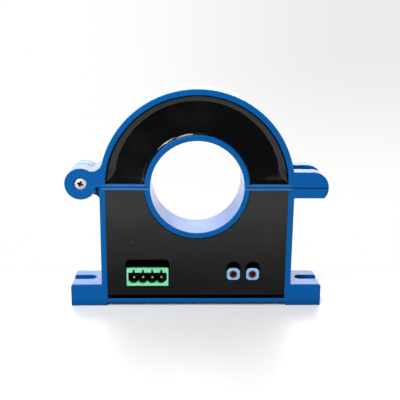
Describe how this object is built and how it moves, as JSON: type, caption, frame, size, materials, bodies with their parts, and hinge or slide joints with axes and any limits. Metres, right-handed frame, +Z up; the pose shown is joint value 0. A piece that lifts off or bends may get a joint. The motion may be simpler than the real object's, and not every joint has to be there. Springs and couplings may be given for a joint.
{
  "type": "current transformer",
  "caption": "Split-core current transformer: hinged blue trays filled with black resin around a round cable window, with terminal header, trimmers, slotted feet and closing lug.",
  "frame": {"origin": "middle of the footprint, on the mounting face under the feet, directly below the window axis", "axes": "+X to the closing lug, -Y out of the open tray fronts with the header, +Z up from the feet to the dome"},
  "size_m": [0.1066, 0.02, 0.0902],
  "materials": {
    "blue_housing": "gloss",
    "black_potting": "gloss",
    "core_iron": "matte",
    "chip_black": "matte",
    "lead_ribbon": "matte",
    "board_laminate": "satin",
    "header_green": "satin",
    "tinned_pin": "satin",
    "trimmer_blue": "satin",
    "rotor_red": "satin",
    "steel_fastener": "satin"
  },
  "bodies": {
    "lower_half": {"lower_housing": "blue_housing", "lower_potting": "black_potting", "lower_core": "core_iron", "hall_sensor_left": "chip_black", "hall_sensor_right": "chip_black", "sensor_leads_left": "lead_ribbon", "sensor_leads_right": "lead_ribbon", "circuit_board": "board_laminate", "amplifier_chip": "chip_black", "regulator_chip": "chip_black", "terminal_header": "header_green", "contact_pin_1": "tinned_pin", "contact_pin_2": "tinned_pin", "contact_pin_3": "tinned_pin", "contact_pin_4": "tinned_pin", "trimmer_body_zero": "trimmer_blue", "trimmer_body_gain": "trimmer_blue", "hinge_screw": "steel_fastener", "hinge_nut": "steel_fastener", "closure_nut": "steel_fastener"},
    "upper_half": {"upper_housing": "blue_housing", "upper_potting": "black_potting", "upper_core": "core_iron", "closure_washer": "steel_fastener"},
    "closing_screw": {"closure_screw": "steel_fastener"},
    "zero_rotor": {"trimmer_rotor_zero": "rotor_red"},
    "gain_rotor": {"trimmer_rotor_gain": "rotor_red"}
  },
  "joints": [
    {"name": "case_hinge", "type": "hinge", "parent": "lower_half", "child": "upper_half", "pos_m": [-0.0469, 0, 0.05215], "axis": [0, -1, 0], "range_deg": [0, 180]},
    {"name": "closing_screw_travel", "type": "slide", "parent": "upper_half", "child": "closing_screw", "axis": [0, 0, 1], "range_m": [0, 0.004]},
    {"name": "zero_adjust", "type": "hinge", "parent": "lower_half", "child": "zero_rotor", "pos_m": [0.01537, -0.0085, 0.0135], "axis": [0, 1, 0], "range_deg": [-130, 130]},
    {"name": "gain_adjust", "type": "hinge", "parent": "lower_half", "child": "gain_rotor", "pos_m": [0.02343, -0.0085, 0.0135], "axis": [0, 1, 0], "range_deg": [-130, 130]}
  ]
}
